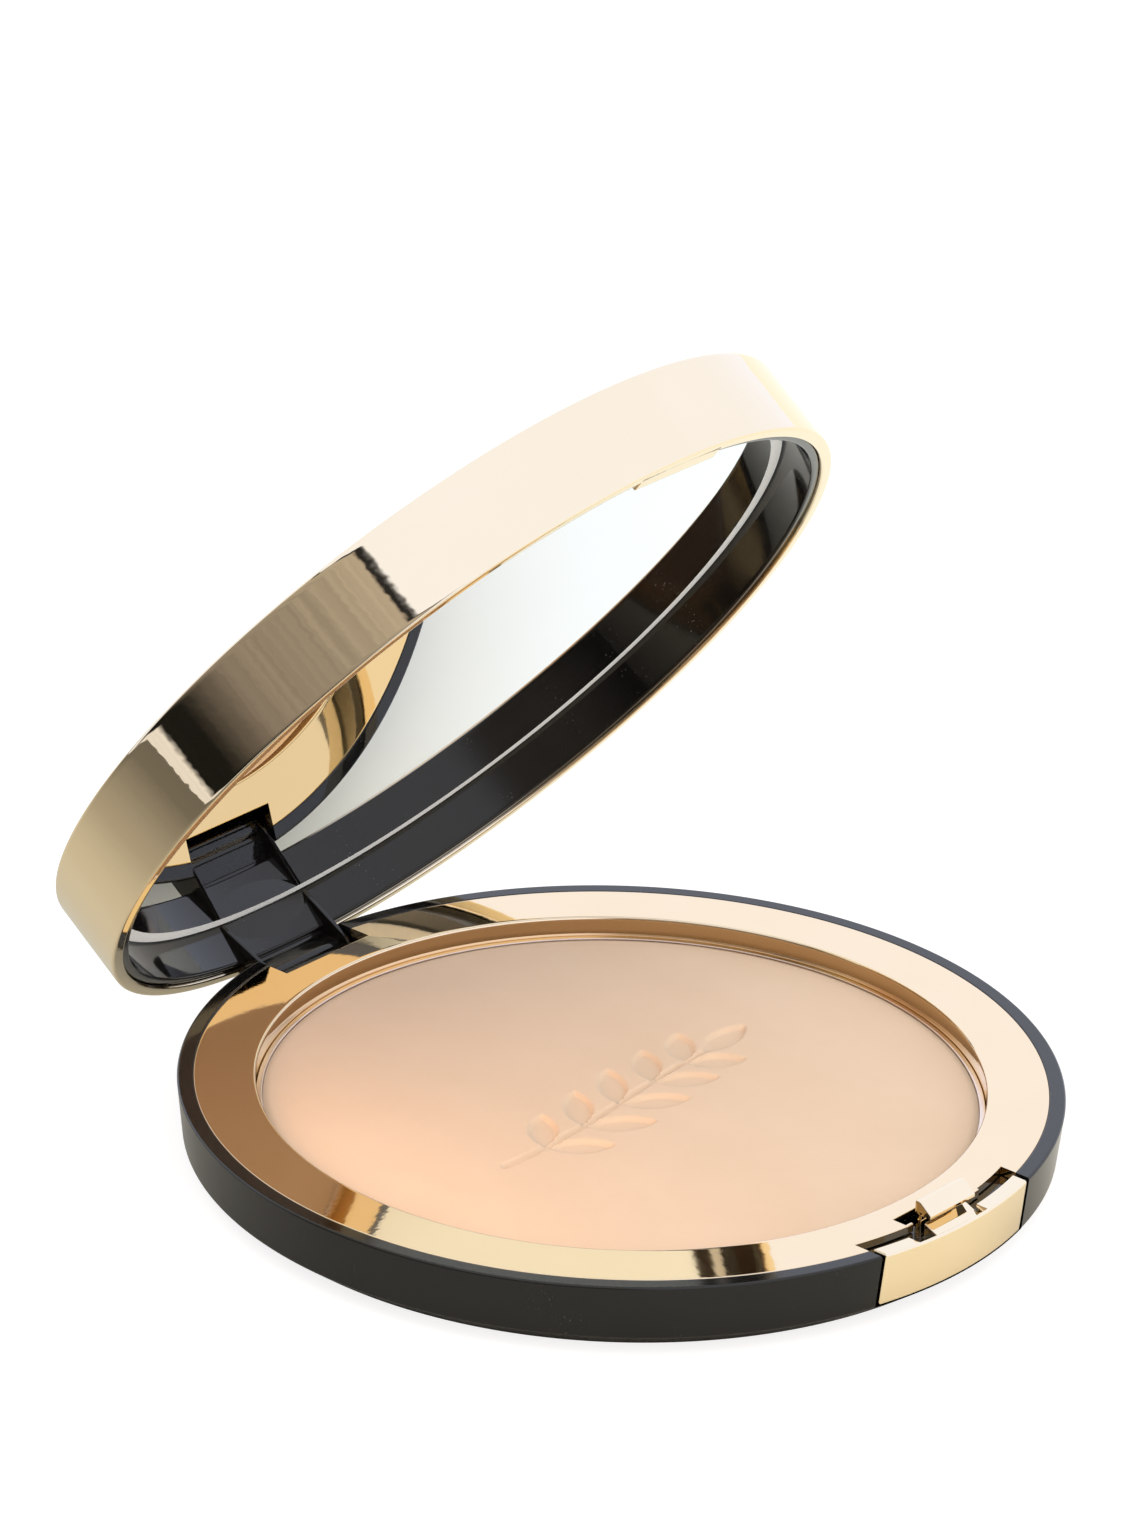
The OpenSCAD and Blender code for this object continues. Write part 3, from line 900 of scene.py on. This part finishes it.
def plate_outline(x):
    """Corners of the sliding plate, whose tongue reaches the cap."""
    outer = np.where(np.abs(x) < tongue_half, ring_r - 0.02, channel_r - 0.15)
    return [(plate_in_r, slide_low, 0.1), (outer, slide_low, 0.1), (outer, slide_high, 0.1),
            (plate_in_r, slide_high, 0.1)]


wing_x = np.linspace(tongue_half, plate_half, 8)
tongue_x = np.linspace(SIDE - tongue_half, tongue_half - SIDE, 30)
plate_x = np.concatenate([-wing_x[::-1], tongue_x, wing_x])
plate_outlines = rounded(corner_rows(len(plate_x), *plate_outline(plate_x)), 2)
plate_solid = capped(on_planes(plate_x, plate_outlines, plate_inner))
catch_mesh = make_mesh("catch_plated", [head, plate_solid], finishes=[0, 1])
add_piece("catch_plated", catch_mesh, "button", "gold_plate", ["catch_slide"], gold, black_moulded)

# %% [markdown]
# ## Lid shell
# The lid's outer shell is a plated cup: a straight wall, a web across it near the top, and a
# recess above the web for the black top plate. A hook stands at the front of its rim.

# %% Build the lid shell
web_low, web_high = rim_z + 7.45, rim_z + 8.2
shell_solid = turned([
    (0, web_low, 0), (lid_in_r, web_low, 0), (lid_in_r, rim_z, 0.22), (case_r, rim_z, 0.28),
    (case_r, rim_z + lid_h, 0.4), (lid_in_r, rim_z + lid_h, 0.18), (lid_in_r, web_high, 0),
    (0, web_high, 0),
], 481)
hook_t, hook_half, hook_y, hook_root = 0.4, 5.3, -37.45, 39.4
hook_points, hook_faces = bar(-hook_half, hook_half, [
    (-hook_root, rim_z, 0.05), (hook_y, rim_z, 0.1), (hook_y, rim_z + hook_t, 0.1),
    (-hook_root, rim_z + hook_t, 0.05),
], 0.1)
wall_y = -np.sqrt(hook_root**2 - hook_points[:, 0] ** 2)
hook_points[:, 1] = np.maximum(hook_points[:, 1], wall_y)
shell_mesh = make_mesh("lid_shell_plated", [shell_solid, (hook_points, hook_faces)], True)
add_piece("lid_shell_plated", shell_mesh, "lid", "gold_plate", ["lid_shell"], gold)

# %% [markdown]
# ## Lid liner
# A gloss black cup is pressed into the shell. It holds the mirror, and at the back it carries
# the hinge arm: a web between two cheeks, which ends below the rim as a knuckle round the pin.

# %% Build the liner
pocket_half_w, pocket_top, liner_rim = 4.2, 2.15, 0.35
liner_top, liner_floor = rim_z + 7.4, rim_z + 6.6
liner_inner = 36.0


def liner_outline(rim):
    """Corners of the liner, whose wall starts at that height."""
    return [
        (0, liner_floor, 0), (liner_in_r, liner_floor, 0), (liner_in_r, rim, 0.22), (liner_r, rim, 0.18),
        (liner_r, liner_top, 0), (0, liner_top, 0),
    ]


liner_low = liner_outline(rim_z + liner_rim)
liner_high = liner_outline(rim_z + pocket_top)
liner_left, liner_right = (station("front", x, liner_inner) for x in (-pocket_half_w, pocket_half_w))
liner_solid = ring(
    cut_part("front", -pocket_half_w, pocket_half_w, liner_inner, lambda x: liner_high, 16),
    arc_part(liner_right, liner_left, liner_low, 420, turn=2 * math.pi),
)

# %% Build the hinge arm
arm_half, cheek_t, knuckle_r = 5.4, 0.45, 1.7
arm_top = rim_z + 4.4
spread, spread_h = 0.06, 4.1
arm_low_r, arm_high_r = case_r - 0.12, liner_r - 0.02


def hinge_arm(first_angle, *inner):
    """Outline of the hinge arm: round the knuckle from that angle, up the outside to the mirror,
    and back down through the inner corners."""
    at = np.radians(np.linspace(first_angle, 350, 24))
    knuckle = [(hinge[1] + knuckle_r * math.cos(a), hinge[2] + knuckle_r * math.sin(a), 0) for a in at]
    outside = [(arm_low_r, rim_z, 0.1), (liner_r, rim_z + 0.1, 0.1), (liner_r, arm_top, 0)]
    return knuckle + outside + [(37.35, arm_top, 0.08)] + list(inner)


def arm_solid(x0, x1, corners, soft):
    """A slice of the arm, kept inside the round wall and spread sideways towards the mirror:
    x' = x (1 + spread u), where u goes from 0 at the rim to 1 at spread_h above it."""
    points, faces = bar(x0, x1, corners, soft)
    x, y, z = points.T
    limit = np.where(z > rim_z - 0.02, arm_high_r, arm_low_r)
    y = np.minimum(y, np.sqrt(limit**2 - x**2))
    x = x * (1 + spread * np.clip((z - rim_z) / spread_h, 0, 1))
    return np.stack([x, y, z], 1), faces


web = hinge_arm(125, (38.3, rim_z, 0.3), (37.3, 5.7, 0.3))
cheek = hinge_arm(178, (36.2, 5.4, 0.3))
arms = [
    arm_solid(-arm_half + 0.1, arm_half - 0.1, web, 0.08),
    arm_solid(-arm_half, -arm_half + cheek_t, cheek, 0.09),
    arm_solid(arm_half - cheek_t, arm_half, cheek, 0.09),
]
liner_mesh = make_mesh("lid_liner_moulding", [liner_solid] + arms, True)
add_piece("lid_liner_moulding", liner_mesh, "lid", "black_gloss", ["lid_liner"], black_moulded)

# %% [markdown]
# ## Mirror
# The mirror is a disc of glass, silvered on its back. Its ground edge shows through the glass as
# a pale line just inside the rim. Real glass would need slow refraction to show that, so the
# disc has two finishes instead: faces beyond the silver's radius take the ground one, which also
# glows a little as painted light, so that the line stays pale where little light reaches it.

# %% Build the mirror
silver_r = mirror_r - 1.4
face_z, back_z = rim_z + mirror_face, rim_z + 6.1
mirror_solid = turned([
    (0, face_z, 0), (silver_r, face_z, 0), (mirror_r - 0.1, face_z, 0.05),
    (mirror_r, face_z + 0.12, 0.05), (mirror_r, back_z, 0.1), (0, back_z, 0),
])
mirror_mesh = make_mesh("mirror_disc", [mirror_solid], True, sharp=20)
centre_x, centre_y, _ = turn_lid(face_centres(mirror_mesh), -lid_open).T
add_piece("mirror_disc", mirror_mesh, "lid", "mirror_glass", ["mirror"], mirror_silver, glowing_ground_edge)
number_faces(mirror_mesh, np.hypot(centre_x, centre_y) > silver_r + 0.01)

# %% [markdown]
# ## Top plate
# A gloss black disc fills the recess in the lid's top. Fine turned rings near its edge are a
# plain trim.

# %% Build the top plate
plate_r = lid_in_r - 0.1
plate_low, plate_high = rim_z + 8.3, rim_z + 8.95
groove_half, groove_depth = 0.2, 0.12
grooves = []
for groove_r in (36.4, 35.4):
    grooves += [(groove_r + groove_half, plate_high, 0.06), (groove_r, plate_high - groove_depth, 0.05),
                (groove_r - groove_half, plate_high, 0.06)]
edges = [(0, plate_low, 0), (plate_r, plate_low, 0.08), (plate_r, plate_high, 0.16)]
top_mesh = make_mesh("top_plate_disc", [turned(edges + grooves + [(0, plate_high, 0)])], True)
add_piece("top_plate_disc", top_mesh, "lid", "top_acrylic", ["top_plate"], top_acrylic)

# %% [markdown]
# ## Parts that keep their CAD mesh
# The label, the glue, the pin, the spring and the tapes have the right shape already, so they
# only get a finish.

# %% Give the kept nodes their finish
kept = {
    "base_label": label_film, "pan_glue": hot_glue, "hinge_pin": steel, "button_spring": steel,
    "mirror_tape": foam_tape, "top_plate_tape": foam_tape,
}
for node, material in kept.items():
    slots = frame["nodes"][node].data.materials
    slots.clear()
    slots.append(material)
print("kept nodes:", sorted(kept))

# %% [markdown]
# ## Studio
# A white floor and a broad white sky give soft light. Plated parts only look like metal when
# there is something to reflect, so for reflections only the sky has a dimmer backdrop on the
# left, with a dark edge under the overhead light, as a small product studio has. The floor that
# reflections see ends at the table's left edge, 0.2 m away. Its colour is painted: painted shade
# darkens it towards that edge and behind the compact, and painted light makes it paler and bluer
# to the right.


# %% Build the floor
def flat_sheet(name, low, high, z):
    """A rectangle at height z, facing up, in metres."""
    mesh = bpy.data.meshes.new(name)
    corners = [(low[0], low[1], z), (high[0], low[1], z), (high[0], high[1], z), (low[0], high[1], z)]
    mesh.from_pydata(corners, [], [[0, 1, 2, 3]])
    sheet = bpy.data.objects.new(name, mesh)
    bpy.context.scene.collection.objects.link(sheet)
    return sheet


def floor_finish(name, glow, stops, back):
    """A matt floor that glows a little. Its colour goes through the stops (x in metres, colour)
    along X, read from the sheet's own coordinates. Behind the compact, where y - 0.8 x goes
    from 0.02 to 0.065, it is dimmed to the share back."""
    material = bpy.data.materials.new(name)
    material.use_nodes = True
    tree = material.node_tree
    shader = tree.nodes["Principled BSDF"]
    shader.inputs["Roughness"].default_value = 0.9
    shader.inputs["Specular IOR Level"].default_value = 0.1
    shader.inputs["Emission Color"].default_value = (1.0, 1.0, 1.0, 1.0)
    shader.inputs["Emission Strength"].default_value = glow
    first, last = stops[0][0], stops[-1][0]
    where, split = add(tree, "TexCoord"), add(tree, "SeparateXYZ")
    span, fade = add(tree, "MapRange", From_Min=first, From_Max=last), add(tree, "ValToRGB")
    for x, colour in stops[1:-1]:
        fade.color_ramp.elements.new((x - first) / (last - first)).color = (*colour, 1.0)
    fade.color_ramp.elements[0].color = (*stops[0][1], 1.0)
    fade.color_ramp.elements[-1].color = (*stops[-1][1], 1.0)
    # painted shade: the colour is dimmed behind the compact, where y - 0.8 x is larger than 0.02
    slant = add(tree, "Math", operation="MULTIPLY_ADD")
    slant.inputs[1].default_value = -0.8
    behind = add(tree, "MapRange", From_Min=0.02, From_Max=0.065, To_Min=1.0, To_Max=back)
    dimmed = add(tree, "VectorMath", operation="SCALE")
    link(tree, (where.outputs["Object"], split.inputs[0]), (split.outputs[0], span.inputs["Value"]),
         (span.outputs["Result"], fade.inputs[0]), (split.outputs[0], slant.inputs[0]),
         (split.outputs[1], slant.inputs[2]), (slant.outputs[0], behind.inputs["Value"]),
         (fade.outputs[0], dimmed.inputs[0]), (behind.outputs["Result"], dimmed.inputs["Scale"]),
         (dimmed.outputs[0], shader.inputs["Base Color"]))
    return material


floor_half = 4.0
seen_floor = flat_sheet("floor_seen", (-floor_half, -floor_half), (floor_half, floor_half), -0.03 * MM)
plain = [(-1, (0.35, 0.35, 0.35)), (1, (0.35, 0.35, 0.35))]
seen_floor.data.materials.append(floor_finish("floor_seen", 0.80, plain, 1.0))
seen_floor.visible_glossy = seen_floor.visible_diffuse = seen_floor.visible_shadow = False
table_left = -0.205
bounce_floor = flat_sheet("floor_bounce", (table_left, -floor_half), (floor_half, floor_half), -0.05 * MM)
# painted shade and light: darker towards the left edge, paler and bluer from x = 0.06 m on
painted_floor_stops = [
    (-0.2, (0.18, 0.18, 0.165)), (-0.151, (0.20, 0.20, 0.185)), (-0.113, (0.33, 0.33, 0.30)),
    (-0.092, (0.43, 0.43, 0.39)), (-0.076, (0.50, 0.50, 0.455)), (-0.052, (0.73, 0.735, 0.665)),
    (-0.036, (0.82, 0.83, 0.75)), (0.02, (0.82, 0.83, 0.75)), (0.06, (0.85, 0.92, 0.92)),
]
bounce_floor.data.materials.append(floor_finish("floor_bounce", 0.0, painted_floor_stops, 0.68))
bounce_floor.visible_camera = False
print("floor for reflections from x =", table_left, "with", len(painted_floor_stops), "colour stops")

# %% [markdown]
# Light that the gold lid throws back warms the powder near the hinge. Tracing it would take
# long, so a small warm lamp low on the left stands for it. Light linking keeps it on the powder
# alone, and neither the camera nor reflections see it.

# %% Place the warm lamp
lamp_data = bpy.data.lights.new("warm_card", "AREA")
lamp_data.size, lamp_data.energy, lamp_data.color = 0.05, 0.037, (1.0, 0.42, 0.10)
lamp = bpy.data.objects.new("warm_card", lamp_data)
bpy.context.scene.collection.objects.link(lamp)
lamp_at, lamp_to = Vector((-0.075, 0.02, 0.04)), Vector((-0.02, 0.0, 0.0))
lamp_turn = (lamp_at - lamp_to).to_track_quat("Z", "Y").to_matrix().to_4x4()
lamp.matrix_world = Matrix.Translation(lamp_at) @ lamp_turn
lamp.visible_camera = lamp.visible_glossy = False
lit = bpy.data.collections.new("lit_by_warm_card")
lit.objects.link(bpy.data.objects["powder_cake_pressed"])
lamp.light_linking.receiver_collection = lit

# %% [markdown]
# The sky is a small node tree. A ray's direction gives its elevation and azimuth in degrees, and
# a colour ramp over the elevation paints the backdrop. Light Path tells which rays come from a
# gloss surface. A studio picture could be wrapped round the scene instead, but nodes need no
# file, and each strip can be moved by one number.

# %% Build the sky
world = bpy.data.worlds.new("studio")
bpy.context.scene.world = world
world.use_nodes = True
sky = world.node_tree
sky.nodes.clear()
sky_out, sky_light = add(sky, "OutputWorld"), add(sky, "Background", Strength=1.0)
where, split = add(sky, "TexCoord"), add(sky, "SeparateXYZ")
link(sky, (where.outputs["Generated"], split.inputs[0]), (sky_light.outputs[0], sky_out.inputs["Surface"]))


def sky_math(operation, *values):
    """Result of one operation on sockets or numbers."""
    node = add(sky, "Math", operation=operation)
    for k, value in enumerate(values):
        feed(sky, node.inputs[k], value)
    return node.outputs[0]


def sky_ramp(value, stops):
    """Colour ramp over degrees from -90 to 90: stops are (degrees, (r, g, b))."""
    node = add(sky, "ValToRGB")
    elements = node.color_ramp.elements
    elements.remove(elements[1])
    for k, (at, colour) in enumerate(stops):
        element = elements[0] if k == 0 else elements.new((at + 90) / 180)
        element.position = (at + 90) / 180
        element.color = (*colour, 1.0)
    link(sky, (sky_math("MULTIPLY_ADD", value, 1 / 180, 0.5), node.inputs[0]))
    return node.outputs[0]


east, north, up = split.outputs
degrees = 180 / math.pi
elevation = sky_math("MULTIPLY", sky_math("ARCSINE", up), degrees)
azimuth = sky_math("MULTIPLY", sky_math("ARCTAN2", east, north), degrees)
bright, overhead, front_fill = (1.04, 1.13, 1.42), (1.08, 1.08, 1.08), (1.9, 1.6, 1.4)

# %% The backdrop that reflections see
low_grey, pale_strip = (0.20, 0.19, 0.18), (0.87, 0.89, 1.0)
dark_strip, dark_edge = (0.012, 0.012, 0.012), (0.025, 0.025, 0.03)
backdrop = sky_ramp(elevation, [
    (-90, low_grey), (-16, low_grey), (-14, pale_strip), (-10.5, pale_strip), (-9.2, dark_strip),
    (-3, dark_strip),
    (0, (0.05, 0.047, 0.045)), (5, (0.14, 0.127, 0.122)), (9, (0.24, 0.218, 0.21)),
    (14, (0.30, 0.272, 0.26)), (20, (0.31, 0.28, 0.268)), (27, (0.34, 0.315, 0.295)),
    (33, (0.375, 0.35, 0.325)), (40, (0.46, 0.425, 0.39)), (45, (0.50, 0.46, 0.43)),
    (45.6, dark_edge), (47.0, dark_edge), (47.8, bright),
])

# %% Brush it with faint streaks, and end it at its two sides
streak_noise = add(sky, "TexNoise", noise_dimensions="1D", Scale=0.45, Detail=2.0, Roughness=0.6)
feed(sky, streak_noise.inputs["W"], elevation)
streak = sky_math("MULTIPLY_ADD", streak_noise.outputs["Fac"], 0.5, 0.75)
below_edge = mapped(sky, elevation, 0.0, 1.0, 48.0, 46.0)
streak = sky_math("ADD", sky_math("MULTIPLY", sky_math("SUBTRACT", streak, 1.0), below_edge), 1.0)
streak_colour = add(sky, "CombineColor")
for channel in streak_colour.inputs:
    feed(sky, channel, streak)
streaked = mixed(sky, 1.0, backdrop, streak_colour.outputs[0], "MULTIPLY")
backdrop_azimuth, backdrop_half, backdrop_end = -88.0, 42.0, 56.0
from_middle = sky_math("ABSOLUTE", sky_math("SUBTRACT", azimuth, backdrop_azimuth))
in_backdrop = add(sky, "MapRange", interpolation_type="SMOOTHSTEP", From_Min=backdrop_half,
                  From_Max=backdrop_end, To_Min=1.0, To_Max=0.0)
feed(sky, in_backdrop.inputs["Value"], from_middle)
seen_in_gloss = mixed(sky, in_backdrop.outputs["Result"], bright, streaked)

# %% Choose the sky by the kind of ray
towards_front = add(sky, "VectorMath", operation="DOT_PRODUCT")
towards_front.inputs[1].default_value = (-0.45, -0.82, 0.35)
fill_share = add(sky, "MapRange", interpolation_type="SMOOTHSTEP", From_Min=0.25, From_Max=1.0)
soft_light = mixed(sky, fill_share.outputs["Result"], overhead, front_fill)
by_gloss = add(sky, "LightPath").outputs["Is Glossy Ray"]
link(
    sky,
    (where.outputs["Generated"], towards_front.inputs[0]),
    (towards_front.outputs["Value"], fill_share.inputs["Value"]),
    (mixed(sky, by_gloss, soft_light, seen_in_gloss), sky_light.inputs["Color"]),
)
print("sky nodes:", len(sky.nodes))

# %% [markdown]
# ## Camera
# A long lens from 0.8 m away keeps the circles close to true ellipses, as in a product shot.

# %% Place the camera
def look(azimuth_deg, elevation_deg, roll_deg, distance, right_mm, up_mm, lens):
    """Camera on a sphere round the origin, moved sideways in its own image plane."""
    a, e, roll = (math.radians(v) for v in (azimuth_deg, elevation_deg, roll_deg))
    back = Vector((math.sin(a) * math.cos(e), -math.cos(a) * math.cos(e), math.sin(e)))
    right = (-back).cross(Vector((0, 0, 1))).normalized()
    up = right.cross(-back)
    across = right * math.cos(roll) + up * math.sin(roll)
    upward = up * math.cos(roll) - right * math.sin(roll)
    eye = back * distance + (across * right_mm + upward * up_mm) * MM
    data = bpy.data.cameras.new("product_camera")
    data.sensor_fit, data.sensor_height, data.lens = "VERTICAL", 36.0, lens
    data.clip_start, data.clip_end = 0.05, 50.0
    camera = bpy.data.objects.new("product_camera", data)
    bpy.context.scene.collection.objects.link(camera)
    camera.matrix_world = Matrix.Translation(eye) @ Matrix((across, upward, back)).transposed().to_4x4()
    return camera


bpy.context.scene.camera = look(
    azimuth_deg=-49.71, elevation_deg=24.90, roll_deg=1.81, distance=0.8, right_mm=-5.253, up_mm=34.16,
    lens=207.6,
)
bpy.context.scene.view_settings.view_transform = "Standard"
print("camera lens:", round(bpy.context.scene.camera.data.lens, 1), "mm")
